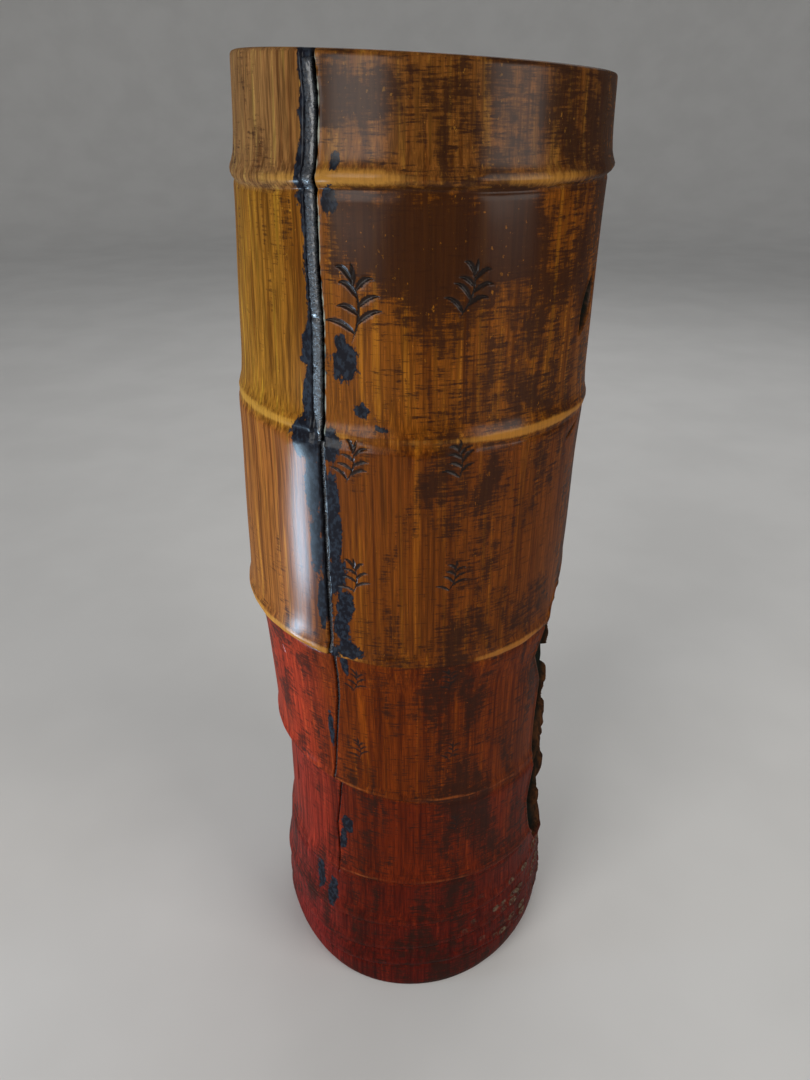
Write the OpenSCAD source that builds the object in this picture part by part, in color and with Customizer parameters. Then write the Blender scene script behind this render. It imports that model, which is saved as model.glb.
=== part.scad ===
// Tall brush holder pot made from one length of bamboo culm, root end down,
// with a turned floor disc let in from below.
// Millimetres. +Z is up, -Y is the front, and the origin is under the middle of the foot.
// Azimuths are measured from the front (-Y) towards the right (+X).

/* [Culm] */
// Height from the foot to the middle of the slanted rim
pot_height = 382; // [360:1:400]
// Thickness added all round the culm's outside
extra_wall = 0; // [0:0.5:4]
// Inside radius at the rim
mouth_radius = 54; // [51:0.5:54]
// Inside radius just above the floor
well_radius = 50; // [47:0.5:51]
// How far each node's inner ridge stands into the hollow
diaphragm_stub = 1.5; // [0.5:0.1:2]
// Height of the undercut below each node ridge
ridge_height = 2; // [1:0.5:3]
// How far each node ridge stands out over the neck below it
ridge_overhang = 1.5; // [0.5:0.1:2]
// Bevel around both edges of the rim
rim_bevel = 1.2; // [0.5:0.1:2]
// Slant of the sawn rim, rising to the left
rim_tilt = 3.6; // [0:0.2:4]
// How closely the hollow follows the culm's bends
bore_follow = 0.7; // [0:0.1:1]
// Bevel worn around the foot
foot_bevel = 2.5; // [1:0.5:4]

/* [Floor] */
// Radius of the floor disc and of the rebate that holds it
floor_radius = 54; // [52:0.5:55]
// Thickness of the floor disc
floor_thickness = 10; // [8:0.5:12]
// Gap from the table to the underside of the floor disc
floor_lift = 5; // [3:0.5:8]
// Side of the putty bead around the top of the floor
bead_size = 3; // [2:0.5:4]
// Radius of the bamboo pegs that pin the floor
peg_radius = 1.5; // [1:0.1:2]
// How deep each peg goes into the floor disc
peg_grip = 8; // [5:0.5:12]

/* [Drying crack] */
// Azimuth of the crack's mean line
crack_azimuth = -29; // [-60:1:-15]
// Width of the split, where it is only sealed
crack_width = 1.2; // [0.8:0.1:2]
// Width of the filled part above the second node from the top
fill_width = 4; // [2:0.5:6]
// Depth of the filled part below the culm's mean surface
fill_depth = 6; // [3:0.5:8]

/* [Carving] */
// Depth of the ground around the relief on the right flank
relief_depth = 3; // [1:0.5:4]
// Azimuth of the relief's front edge
relief_start = 62; // [55:1:80]
// Azimuth of the relief's back edge
relief_end = 158; // [120:1:170]
// Height of the relief's lower end
relief_low = 52; // [45:1:80]
// Height of the relief's upper end
relief_high = 214; // [180:1:230]
// Azimuth of the leaf-shaped hollow
leaf_azimuth = 62; // [50:1:80]
// Length of the leaf-shaped hollow
leaf_length = 23; // [15:1:30]
// Widest part of the leaf-shaped hollow
leaf_width = 11; // [6:1:14]
// Depth of the leaf-shaped hollow
leaf_depth = 4; // [2:0.5:5]

/* [Hidden] */
$fn = 96;

// Each row is one internode, from the foot up: height of its lower ring as a part of the
// pot's height, outside radius at that ring and at the next, and shift of its axis along X.
INTERNODES = [
    [0.000, 64.6, 64.2,  0.5],
    [0.047, 65.0, 64.2,  0.5],
    [0.076, 65.0, 63.5,  0.0],
    [0.117, 64.8, 62.2,  0.5],
    [0.184, 62.4, 61.6,  2.0],
    [0.312, 63.4, 65.2, -1.5],
    [0.498, 66.2, 65.6, -1.8],
    [0.722, 65.6, 63.2,  1.0],
    [0.921, 64.5, 62.4,  3.5],
];
SEGMENTS = len(INTERNODES);
FIRST_BEND = 4;

// Sideways wander of the crack along the surface, against height as a part of the pot's.
CRACK_PATH = [
    [0.16, -6.0], [0.25, -6.5], [0.35, -1.0], [0.43, 3.5], [0.52, 5.0], [0.60, 4.0],
    [0.76, 2.0], [0.82, 2.0], [0.87, 0.5], [0.92, 0.0], [0.98, 0.5], [1.03, -0.5],
];
CRACK_LOW = 0.16;
CRACK_HIGH = 1.03;
FILL_LOW = 0.722;

MEAN_RADIUS = 64 + extra_wall;
REACH = 20;
NECK = 3;
FLOOR_TOP = floor_lift + floor_thickness;
PEG_HEIGHT = floor_lift + floor_thickness / 2;
PEG_AZIMUTHS = [-60, 60, 180];
LEAF_HEIGHT = 0.816 * pot_height;
LEAF_TILT = 28;
NOTCH_HEIGHT = 0.702 * pot_height;
NOTCH_AZIMUTH = 60;
NOTCH_RADIUS = 4;

BAMBOO = [0.47, 0.25, 0.08];
PEG_BAMBOO = [0.30, 0.15, 0.06];
LACQUER = [0.05, 0.04, 0.04];
HARDWOOD = [0.20, 0.08, 0.05];
PUTTY = [0.16, 0.10, 0.07];

function ring_z(i) = (i < SEGMENTS ? INTERNODES[i][0] : 1) * pot_height;

// Inside radius at height z: straight at the root end, then widening to the rim.
function bore_radius(z) =
    let (rise = (z - ring_z(FIRST_BEND)) / (pot_height - ring_z(FIRST_BEND)))
    well_radius + (mouth_radius - well_radius) * max(0, min(1, rise));

// Tips its children with the top internode, about the middle of its lower ring.
module tip_rim(i) {
    pivot = ring_z(i);
    if (i == SEGMENTS - 1)
        translate([0, 0, pivot])
            rotate([0, rim_tilt, 0])
                translate([0, 0, -pivot])
                    children();
    else
        children();
}

// Turned outline of one internode, with its ridge at the lower ring. A short neck at the top
// reaches into the next one, so that a slanted ring leaves no gap.
module internode(i) {
    low_z = ring_z(i);
    high_z = ring_z(i + 1);
    low_r = INTERNODES[i][1] + extra_wall;
    high_r = INTERNODES[i][2] + extra_wall;
    first = i == 0;
    last = i == SEGMENTS - 1;
    under = first ? foot_bevel : ridge_overhang;
    under_z = first ? foot_bevel : ridge_height;
    shoulder = last ? rim_bevel : 0;
    neck = last ? 0 : NECK;
    translate([INTERNODES[i][3], 0, 0])
        rotate_extrude()
            polygon([
                [0, low_z], [low_r - under, low_z], [low_r, low_z + under_z],
                [high_r, high_z - shoulder], [high_r - max(shoulder, neck), high_z],
                [high_r - max(shoulder, neck), high_z + neck], [0, high_z + neck],
            ]);
}

// The culm's outside, as a solid.
module culm_blank() {
    for (i = [0:SEGMENTS - 1])
        tip_rim(i)
            internode(i);
}

// The hollow of one internode, narrowed to the diaphragm's stub at each end.
module well_part(low_z, high_z) {
    taper = 5;
    overlap = 0.5;
    low_r = bore_radius(low_z);
    high_r = bore_radius(high_z);
    rotate_extrude()
        polygon([
            [0, low_z - overlap], [low_r - diaphragm_stub, low_z - overlap],
            [low_r, low_z + taper], [high_r, high_z - taper],
            [high_r - diaphragm_stub, high_z + overlap], [0, high_z + overlap],
        ]);
}

// The mouth, bevelled at the rim. It starts low enough to meet the hollow below it when tipped.
module mouth() {
    low_z = ring_z(SEGMENTS - 1);
    rotate_extrude()
        polygon([
            [0, low_z - NECK - 1], [mouth_radius - diaphragm_stub, low_z - NECK - 1],
            [mouth_radius - diaphragm_stub, low_z], [mouth_radius, low_z + 5],
            [mouth_radius, pot_height - rim_bevel],
            [mouth_radius + 2 * rim_bevel, pot_height + rim_bevel], [0, pot_height + rim_bevel],
        ]);
}

// The hollow above the floor: straight at the root end, then following the culm's bends.
module well() {
    translate([0, 0, FLOOR_TOP - 1])
        cylinder(r = well_radius, h = ring_z(FIRST_BEND) - FLOOR_TOP + 2);
    for (i = [FIRST_BEND:SEGMENTS - 2])
        translate([bore_follow * INTERNODES[i][3], 0, 0])
            well_part(ring_z(i), ring_z(i + 1));
    tip_rim(SEGMENTS - 1)
        translate([bore_follow * INTERNODES[SEGMENTS - 1][3], 0, 0])
            mouth();
}

// A radial plate that follows the crack between two heights, given as parts of the pot's.
module crack_plate(low, high, width) {
    middle = [for (p = CRACK_PATH) if (p[0] > low && p[0] < high) p[0]];
    heights = concat([low], middle, [high]);
    right_side = [for (h = heights) [lookup(h, CRACK_PATH) + width / 2, h * pot_height]];
    left_side = [for (n = [len(heights) - 1:-1:0])
        [lookup(heights[n], CRACK_PATH) - width / 2, heights[n] * pot_height]];
    rotate([0, 0, crack_azimuth])
        translate([0, -well_radius + REACH / 2, 0])
            rotate([90, 0, 0])
                linear_extrude(height = 2 * REACH)
                    polygon(concat(right_side, left_side));
}

// Everything deeper than the lacquer reaches into the split.
module behind_fill() {
    cylinder(r = MEAN_RADIUS - fill_depth, h = pot_height + REACH);
}

// The sunk ground of the relief: a wedge of a ring on the right flank.
module relief_ground() {
    height = relief_high - relief_low;
    middle = (relief_start + relief_end) / 2;
    half = (relief_end - relief_start) / 2;
    rotate([0, 0, middle])
        translate([0, 0, relief_low])
            difference() {
                linear_extrude(height = height)
                    polygon([[0, 0], for (side = [-1, 0, 1])
                        2 * MEAN_RADIUS * [sin(side * half), -cos(side * half)]]);
                translate([0, 0, -1])
                    cylinder(r = MEAN_RADIUS - relief_depth - 2, h = height + 2);
            }
}

// The leaf-shaped hollow: where two arcs cross, sunk into the right shoulder.
module leaf_hollow() {
    arc_radius = (pow(leaf_length / 2, 2) + pow(leaf_width / 2, 2)) / leaf_width;
    rotate([0, 0, leaf_azimuth])
        translate([0, leaf_depth - MEAN_RADIUS, LEAF_HEIGHT])
            rotate([90, 0, 0])
                rotate([0, 0, -LEAF_TILT])
                    intersection_for (side = [-1, 1])
                        translate([side * (arc_radius - leaf_width / 2), 0, 0])
                            cylinder(r = arc_radius, h = REACH);
}

// A small notch cut beside the second node.
module notch() {
    rotate([0, 0, NOTCH_AZIMUTH])
        translate([0, -MEAN_RADIUS - NOTCH_RADIUS / 2 - 1, NOTCH_HEIGHT])
            sphere(r = NOTCH_RADIUS);
}

// One radial peg, or the hole for it, that starts inside the floor disc.
module peg_rod(azimuth) {
    rotate([0, 0, azimuth])
        translate([0, peg_grip - floor_radius, PEG_HEIGHT])
            rotate([90, 0, 0])
                cylinder(r = peg_radius, h = 2 * REACH);
}

module culm() {
    color(BAMBOO)
        difference() {
            culm_blank();
            well();
            translate([0, 0, -1])
                cylinder(r = floor_radius, h = FLOOR_TOP + 1);
            crack_plate(CRACK_LOW, CRACK_HIGH, crack_width);
            difference() {
                crack_plate(FILL_LOW, CRACK_HIGH, fill_width);
                behind_fill();
            }
            relief_ground();
            leaf_hollow();
            notch();
            for (azimuth = PEG_AZIMUTHS)
                peg_rod(azimuth);
        }
}

// Black lacquer that fills the wide part of the crack, flush with the culm.
module crack_fill_upper() {
    color(LACQUER)
        difference() {
            intersection() {
                culm_blank();
                crack_plate(FILL_LOW, CRACK_HIGH, fill_width);
            }
            behind_fill();
        }
}

// Black lacquer run into the narrow part of the crack, a little below the surface.
module crack_fill_lower() {
    sunk = 3;
    color(LACQUER)
        intersection() {
            crack_plate(CRACK_LOW, FILL_LOW, crack_width);
            difference() {
                cylinder(r = MEAN_RADIUS - sunk, h = pot_height);
                translate([0, 0, -1])
                    cylinder(r = MEAN_RADIUS - fill_depth, h = pot_height + 2);
            }
        }
}

// Turned hardwood disc, eased around its lower edge.
module floor_disc() {
    ease = 1;
    color(HARDWOOD)
        difference() {
            rotate_extrude()
                polygon([
                    [0, floor_lift], [floor_radius - ease, floor_lift],
                    [floor_radius, floor_lift + ease], [floor_radius, FLOOR_TOP], [0, FLOOR_TOP],
                ]);
            for (azimuth = PEG_AZIMUTHS)
                peg_rod(azimuth);
        }
}

// Concave bead of putty where the floor meets the wall.
module floor_seal() {
    color(PUTTY)
        rotate_extrude()
            difference() {
                translate([well_radius - bead_size, FLOOR_TOP])
                    square(bead_size);
                translate([well_radius - bead_size, FLOOR_TOP + bead_size])
                    circle(r = bead_size);
            }
}

// Bamboo peg through the foot into the floor disc, cut flush with the culm.
module floor_peg(azimuth) {
    color(PEG_BAMBOO)
        intersection() {
            peg_rod(azimuth);
            internode(0);
        }
}

culm();
crack_fill_upper();
crack_fill_lower();
floor_disc();
floor_seal();
floor_peg(PEG_AZIMUTHS[0]);  // floor_peg_left
floor_peg(PEG_AZIMUTHS[1]);  // floor_peg_right
floor_peg(PEG_AZIMUTHS[2]);  // floor_peg_back
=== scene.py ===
"""Looks of a tall bamboo brush pot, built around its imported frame.

Shapes are worked out in millimetres and written to the meshes in metres.
Azimuth runs from the front (-Y) towards the right (+X). The culm is one closed skin: its outside,
rim, inside and foot follow each other in the rows of a fine survey grid, and the mesh keeps only
the points of that grid that the surface needs.
"""
import math
from types import SimpleNamespace

import bpy
import numpy as np
from mathutils import Matrix, Vector
from mathutils.geometry import delaunay_2d_cdt


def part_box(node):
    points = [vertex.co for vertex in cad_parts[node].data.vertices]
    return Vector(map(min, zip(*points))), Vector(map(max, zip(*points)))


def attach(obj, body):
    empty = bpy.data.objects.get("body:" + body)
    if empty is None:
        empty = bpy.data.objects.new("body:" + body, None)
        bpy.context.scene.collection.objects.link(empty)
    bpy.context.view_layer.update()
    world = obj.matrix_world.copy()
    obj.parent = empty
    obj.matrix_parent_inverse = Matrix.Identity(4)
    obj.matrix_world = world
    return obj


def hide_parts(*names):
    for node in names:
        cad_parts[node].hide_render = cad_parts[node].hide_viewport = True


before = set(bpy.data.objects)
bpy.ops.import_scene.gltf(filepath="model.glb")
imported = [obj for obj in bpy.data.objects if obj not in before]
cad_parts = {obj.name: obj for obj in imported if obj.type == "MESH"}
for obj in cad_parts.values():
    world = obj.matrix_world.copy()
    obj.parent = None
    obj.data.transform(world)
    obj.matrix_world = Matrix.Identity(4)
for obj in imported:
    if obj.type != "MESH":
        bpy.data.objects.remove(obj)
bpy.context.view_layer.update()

# ---------------- sizes from the frame, in mm
MM = 0.001
culm_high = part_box("culm")[1]
disc_low, disc_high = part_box("floor_disc")
RIM_RISE = 3.57  # of the slanted rim, above its middle
HEIGHT = culm_high.z / MM - RIM_RISE
FLOOR_TOP = disc_high.z / MM
FLOOR_LOW = disc_low.z / MM
REBATE_RADIUS = (disc_high.y - disc_low.y) / 2 / MM
WELL_RADIUS = (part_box("floor_seal")[1].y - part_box("floor_seal")[0].y) / 2 / MM
BEAD = (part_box("floor_seal")[1].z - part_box("floor_seal")[0].z) / MM

# ---------------- driving dimensions, in mm
MEAN_RADIUS = 64.0
MOUTH_RADIUS = 54.0
RIM_ROUND = 1.3
FOOT_ROUND = 1.2
FOOT_WEAR = 6.6
FOOT_WEAR_AT = math.radians(60)
FILL_LOW = 275.0
CRACK_LOW = 56.0
SLANT_FROM = 345.0
SLOT_MIDDLE = 0.5

# One row per internode, from the foot up: front height of its lower ring, rise of that ring to
# the right and to the back, outside radius at the low and high end, swelling above the lower ring
# and below the upper one, shift of the axis along X at the low and high end and along Y, height
# of the ridge on the ring and depth of the scar line under it.
INTERNODES = [
    (0.0, 0, 0, 64.6, 64.3, 0.0, 0.0, 0.6, 0.6, 0.0, 0.0, 0.0),
    (15.5, 6, 1, 64.6, 64.2, 0.4, 0.2, 0.5, 0.4, 0.1, 0.5, 0.5),
    (27.0, 6, 2, 64.2, 63.7, 0.5, 0.2, 0.2, 0.0, 0.2, 0.5, 0.5),
    (44.0, 5, 3, 63.9, 62.3, 0.5, 0.3, 0.2, 1.2, 0.2, 0.5, 0.4),
    (68.0, 3, 4, 61.5, 60.5, 0.8, 0.9, 2.1, 1.9, -0.7, 0.6, 0.5),
    (118.7, -7.6, 1, 62.3, 63.6, 0.3, 1.8, -0.6, -2.2, 0.5, 0.7, 0.5),
    (190.0, -3.7, 2, 65.4, 65.5, 0.6, 0.4, -3.2, -0.4, -0.5, 0.8, 0.5),
    (275.3, -1.3, 1, 64.8, 63.2, 0.7, 0.2, 0.1, 2.7, 0.6, 0.8, 0.5),
    (350.0, 0.6, 4, 63.3, 62.2, 0.7, 0.0, 3.1, 3.9, 0.2, 0.9, 0.6),
]
RING_WOBBLE = [0, 1.2, 1.2, 1.6, 1.3, 0.7, 0.5, 0.5, 0.6]

# Darker colour of each internode at the front, and its lighter colour on the left side. Both are stain with
# painted red light: the lower internodes are redder, and the left side is lighter and redder, for red light
# reflected onto them.
STAINS_WITH_PAINTED_RED_LIGHT = [
    ((0.060, 0.0034, 0.0010), (0.135, 0.0090, 0.0070)),
    ((0.060, 0.0034, 0.0010), (0.135, 0.0090, 0.0070)),
    ((0.062, 0.0040, 0.0010), (0.138, 0.0095, 0.0068)),
    ((0.066, 0.0048, 0.0008), (0.142, 0.0100, 0.0062)),
    ((0.080, 0.0080, 0.0006), (0.170, 0.0125, 0.0055)),
    ((0.094, 0.0150, 0.0006), (0.215, 0.0180, 0.0055)),
    ((0.103, 0.0250, 0.0018), (0.200, 0.0640, 0.0105)),
    ((0.135, 0.0390, 0.0030), (0.200, 0.0800, 0.0080)),
    ((0.125, 0.0440, 0.0070), (0.175, 0.0820, 0.0260)),
]

# Azimuth of the drying crack in degrees, against height.
CRACK_PATH = [(56, -34), (76, -34.5), (94, -35), (133, -30), (167, -26), (197, -24.5), (230, -25.5),
              (260, -26.5), (288, -27), (310, -27), (330, -28.5), (351, -29), (371, -28.5), (381, -29.5)]

# Incised sprays: azimuth in degrees, height of the middle, size, depth and lean in degrees.
SPRAYS = [
    (-17, 318, 22, 0.60, -8), (-17, 268, 15, 0.45, 6), (-16, 226, 14, 0.45, -6),
    (-18, 178, 12, 0.30, 8), (-19, 143, 11, 0.30, -6),
    (14, 322, 17, 0.60, 10), (14, 269, 14, 0.40, -8), (14, 226, 13, 0.40, 7),
    (14, 180, 11, 0.25, -7), (15, 143, 10, 0.25, 8), (15, 103, 10, 0.20, -6),
]

# Black lacquer spilt beside the crack: azimuth in degrees, height, half width and half height.
SPILLS = [
    (-31.0, 366, 2.6, 13), (-31.5, 352, 3.4, 8), (-30.6, 330, 1.8, 16), (-31.5, 305, 2.2, 7),
    (-33.0, 300, 1.6, 2.0), (-31.0, 288, 2.6, 12), (-31.5, 274, 6.6, 7), (-24.0, 273, 4.0, 6.0),
    (-29.5, 258, 3.6, 11), (-23.0, 254, 2.6, 9), (-28.6, 236, 2.2, 14), (-22.2, 240, 2.8, 12),
    (-21.5, 225, 3.2, 8), (-19.0, 214, 3.6, 6), (-27.0, 212, 1.8, 12), (-20.0, 204, 3.0, 7),
    (-17.5, 195, 5.0, 3.4), (-22.5, 193, 2.0, 3), (-19.5, 300, 4.2, 6.5), (-21.0, 306, 2.0, 3.0),
    (-14.0, 286, 2.6, 2.4), (-17.0, 284, 1.7, 1.6), (-11.0, 283, 3.2, 1.3), (-8.5, 280, 2.2, 1.2),
    (-24.0, 346, 2.8, 3.4), (-22.5, 356, 1.6, 2.6), (-21.0, 186, 1.4, 7), (-29.5, 96, 3.0, 5.0),
    (-32.0, 86, 2.0, 6), (-36.0, 50, 3.0, 9), (-43.0, 56, 2.6, 8), (-30.0, 150, 1.4, 9),
]

# Relief on the right flank: its outline as azimuth in degrees and height.
RELIEF = [(57, 72), (54, 92), (58.5, 113), (59, 135), (61, 156), (54, 173), (60, 188), (70, 198),
          (90, 209), (118, 214), (142, 205), (152, 182), (147, 150), (155, 118), (150, 86),
          (134, 62), (108, 52), (82, 51), (66, 56)]
RELIEF_DEPTH = 4.2

# ---------------- the survey grid
COLUMNS = 1600
OUTER_ROWS = 1520
RIM_ROWS = 48
INNER_ROWS = 240
SHOULDER_ROWS = 16
REBATE_ROWS = 32
SOLE_ROWS = 32
AROUND = np.linspace(-math.pi, math.pi, COLUMNS + 1)[None, :]
TO_RIGHT, TO_FRONT = np.sin(AROUND), np.cos(AROUND)
UP = np.linspace(0, HEIGHT, OUTER_ROWS + 1)[:, None]
DOWN = np.linspace(HEIGHT, FLOOR_TOP, INNER_ROWS + 1)[1:, None]
STAIN_CHANNELS = ("red", "green", "blue")
INSIDE_STAIN = (0.13, 0.060, 0.024)


def smooth(x, low, high):
    """0 below low, 1 above high, with a smooth rise between them."""
    t = np.clip((x - low) / (high - low), 0, 1)
    return t * t * (3 - 2 * t)


def bell(x, width):
    return np.exp(-(x / width) ** 2)


def spline_weights(count, cells, wrap):
    """Cubic spline weights of a lattice's values at evenly spaced places."""
    place = np.linspace(0, cells, count)
    base = np.floor(place).astype(int)
    f = place - base
    parts = ((1 - f) ** 3, 3 * f ** 3 - 6 * f ** 2 + 4, -3 * f ** 3 + 3 * f ** 2 + 3 * f + 1, f ** 3)
    lattice = cells if wrap else cells + 4
    weights = np.zeros((count, lattice))
    for step, part in enumerate(parts):
        column = (base + step) % cells if wrap else base + step
        weights[np.arange(count), column] += part / 6
    return weights


def noise(rows, cells_up, cells_round, seed):
    """Smooth noise of unit spread over the grid's rows and columns, the same at both side edges."""
    rng = np.random.default_rng(seed)
    lattice = rng.uniform(-1, 1, (cells_up + 4, cells_round))
    up = spline_weights(rows, cells_up, False)
    across = spline_weights(COLUMNS + 1, cells_round, True)
    field = up @ lattice @ across.T
    return (field - field.mean()) / field.std()


def skin_noise(cells_up, cells_round, seed):
    """The same over the outside."""
    return noise(OUTER_ROWS + 1, cells_up, cells_round, seed)


def line_noise(cells, seed):
    """The same around the culm only."""
    return noise(2, 1, cells, seed)[:1]


# ---------------- the culm's outside
def ring_lines():
    """Height of each node ring at every azimuth."""
    lines = []
    for i, row in enumerate(INTERNODES):
        tilt = row[1] * TO_RIGHT + row[2] * (1 - TO_FRONT) / 2
        lines.append(row[0] + tilt + RING_WOBBLE[i] * line_noise(9, 20 + i))
    lines.append(np.full_like(AROUND, HEIGHT))
    return lines


def bare_culm(rings):
    """Radius and sideways shift of the plain culm, before any cuts."""
    radius = shift_x = shift_y = 0
    for i, row in enumerate(INTERNODES):
        low_r, high_r, flare, head, low_x, high_x, y, ridge, scar = row[3:]
        above = UP - rings[i]
        below = rings[i + 1] - UP
        part = above / (rings[i + 1] - rings[i])
        own = low_r + (high_r - low_r) * part + flare * bell(above, 8) + head * bell(below, 11)
        own_x = low_x + (high_x - low_x) * part
        share = smooth(above, -2.0, 0.6) if i else 1
        radius = radius * (1 - share) + own * share
        shift_x = shift_x * (1 - share) + own_x * share
        shift_y = shift_y * (1 - share) + y * share
        radius = radius + ridge * bell(above - 1.6, 2.2) - scar * bell(above + 1.6, 0.8)
    oval = 0.5 * np.cos(2 * AROUND + 0.8)
    radius = radius + oval + 0.22 * skin_noise(12, 14, 3)
    near_ring = sum(bell(UP - ring, 7) for ring in rings[1:-1])
    return radius + 0.10 * near_ring * skin_noise(60, 90, 4), shift_x, shift_y


def rounded_ends(radius):
    """The worn edge of the foot and the eased edge of the rim."""
    wear = FOOT_ROUND + FOOT_WEAR * bell(AROUND - FOOT_WEAR_AT, 0.64) + 2 * bell(AROUND + 1.0, 0.45)
    left = np.clip(1 - UP / (1.6 * wear + 1), 0, 1)
    foot = wear * (1 - np.sqrt(1 - left ** 2 * 0.999))
    left = np.clip(1 - (HEIGHT - UP) / RIM_ROUND, 0, 1)
    rim = RIM_ROUND * (1 - np.sqrt(1 - left ** 2 * 0.999))
    return radius - foot - rim


# ---------------- cuts and growths on the outside
def blank():
    """A field of zeros over the outside."""
    return np.zeros((OUTER_ROWS + 1, COLUMNS + 1))


def window(azimuth, height, half_round, half_up):
    """The grid's rows and columns around a spot, with local coordinates across and up, in mm."""
    half_angle = half_round / MEAN_RADIUS
    columns = np.flatnonzero(np.abs(AROUND[0] - azimuth) < half_angle)
    rows = np.flatnonzero(np.abs(UP[:, 0] - height) < half_up)
    across = (AROUND[:, columns] - azimuth) * MEAN_RADIUS
    return np.ix_(rows, columns), across, UP[rows] - height


def stroke(across, up, points, width):
    """How deep a tapered stroke along a bent line cuts at each place, from 0 to 1."""
    start, bend, end = (np.array(p, float) for p in points)
    cut = np.full(np.broadcast(across, up).shape, -9.0)
    for t in np.linspace(0, 1, 40):
        x, y = (1 - t) ** 2 * start + 2 * t * (1 - t) * bend + t * t * end
        half = width * (0.22 + 0.78 * math.sin(math.pi * t ** 0.8)) / 2
        cut = np.maximum(cut, 1 - np.hypot(across - x, up - y) / half)
    return cut


def spray_strokes(size, lean, rng):
    """A leafy sprig: a bent stem with leaves that leave it left and right in turn."""
    turn = math.radians(lean)
    side_x = np.array([math.cos(turn), -math.sin(turn)])
    side_y = np.array([math.sin(turn), math.cos(turn)])
    stem = [(-0.10, -0.5), (0.16, -0.05), (0.0, 0.30)]
    strokes = [(stem, 0.040)]
    for n in range(7):
        t = 0.12 + 0.14 * n
        root = np.array([-0.10 * (1 - t) ** 2 + 0.32 * t * (1 - t), -0.5 + 0.90 * t - 0.10 * t * t])
        side = 1 if n % 2 else -1
        out = side * (0.40 - 0.03 * n) * rng.uniform(0.85, 1.1)
        rise = rng.uniform(0.10, 0.24)
        tip = root + (out, rise)
        bend = root + (out * 0.45, rise * 0.9 + 0.05)
        strokes.append(([root, bend, tip], 0.085))
    strokes.append(([(0.0, 0.24), (0.05, 0.38), (0.02, 0.52)], 0.085))
    return [([size * (p[0] * side_x + p[1] * side_y) for p in points], width * size)
            for points, width in strokes]


def incise_sprays():
    """Depth of the sprays, and the same from 0 to 1 for the colour."""
    depth = blank()
    mark = np.zeros_like(depth)
    rng = np.random.default_rng(5)
    for degrees, height, size, deep, lean in SPRAYS:
        place, across, up = window(math.radians(degrees), height, size * 0.8, size * 0.8)
        for points, width in spray_strokes(size, lean, rng):
            cut = stroke(across, up, points, width)
            depth[place] = np.maximum(depth[place], deep * np.clip(cut, 0, 1) ** 0.8)
            mark[place] = np.maximum(mark[place], smooth(cut, -0.25, 0.25) * min(1, 0.35 + deep))
    return depth, mark


def crack_offset():
    """Distance to the right of the crack's line, in mm."""
    heights, degrees = zip(*CRACK_PATH)
    rng = np.random.default_rng(8)
    jitter_heights = np.arange(0, HEIGHT + 18, 9.0)
    jitter = np.interp(UP, jitter_heights, rng.uniform(-0.14, 0.14, jitter_heights.size))
    line = np.radians(np.interp(UP, heights, degrees)) * MEAN_RADIUS + jitter
    return AROUND * MEAN_RADIUS - line


def open_crack(offset):
    """Height change of the crack; its gap, which is painted near-black as shade; and its pale edge,
    lightened partly as a painted highlight.
    """
    upper = smooth(UP, FILL_LOW - 6, FILL_LOW + 4)
    alive = smooth(UP, CRACK_LOW, CRACK_LOW + 22)
    half = (0.35 + 0.45 * smooth(UP, 80, 240)) * alive + 0.05
    slot = 1 - smooth(np.abs(offset - SLOT_MIDDLE), half - 0.12, half + 0.22)
    trench = smooth(offset, -3.7, -3.2) * (1 - smooth(offset, -0.1, 0.3)) * upper
    edge = bell(offset - 0.75 - half, 0.42) * alive
    grain = 0.75 + 0.25 * skin_noise(300, 40, 9)
    change = 0.28 * edge * grain - 2.4 * slot * alive - 0.75 * trench
    return change, slot * alive, edge * (0.35 + 0.65 * upper) * np.clip(grain, 0.2, 1.4)


def spilt_lacquer(offset):
    """Field that is above 0.5 where black lacquer covers the bamboo."""
    field = blank()
    for degrees, height, half_round, half_up in SPILLS:
        place, across, up = window(math.radians(degrees), height, half_round * 2.4, half_up * 2.4)
        size = np.sqrt((across / half_round) ** 2 + (up / half_up) ** 2)
        field[place] = np.maximum(field[place], 1 - 0.5 * size)
    upper = smooth(UP, FILL_LOW - 8, FILL_LOW)
    lower = smooth(UP, 190, 215) * (1 - upper)
    beside = 1 - 0.5 * np.abs((offset + 1.6) / 2.9)
    under = 1 - 0.5 * np.abs((offset - 0.4) / 1.9)
    field = np.maximum(field, np.clip(beside * upper, 0, 1))
    return np.maximum(field, np.clip(under * lower, 0, 1))


def outline_distance(across, up, outline):
    """Signed distance to a closed outline, above 0 inside it."""
    nearest = np.full(np.broadcast(across, up).shape, 1e9)
    inside = np.zeros(nearest.shape, bool)
    for (x0, y0), (x1, y1) in zip(outline, outline[1:] + outline[:1]):
        dx, dy = x1 - x0, y1 - y0
        t = np.clip(((across - x0) * dx + (up - y0) * dy) / (dx * dx + dy * dy), 0, 1)
        nearest = np.minimum(nearest, np.hypot(across - x0 - t * dx, up - y0 - t * dy))
        crosses = (y0 > up) != (y1 > up)
        inside ^= crosses & (across < x0 + dx * (up - y0) / (dy if dy else 1e-9))
    return np.where(inside, nearest, -nearest)


def crags(across, up, rng):
    """Rocks: overlapping tilted lumps, highest at the bottom of the relief."""
    height = np.zeros(np.broadcast(across, up).shape)
    for _ in range(46):
        x, y = rng.uniform(-46, 46), rng.uniform(-80, -28) + rng.uniform(0, 26)
        tall = rng.uniform(1.6, 4.4)
        wide = rng.uniform(4.5, 9.0)
        lean_x, lean_y = rng.uniform(-0.22, 0.22), rng.uniform(-0.05, 0.25)
        far = np.maximum(np.abs(across - x) * 1.1 + 0.4 * np.abs(up - y), np.abs(up - y) * 0.8)
        lump = tall + lean_x * (across - x) + lean_y * (up - y) - tall * (far / wide) ** 3
        height = np.maximum(height, np.where(far < wide * 1.3, lump, 0))
    return height


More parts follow.
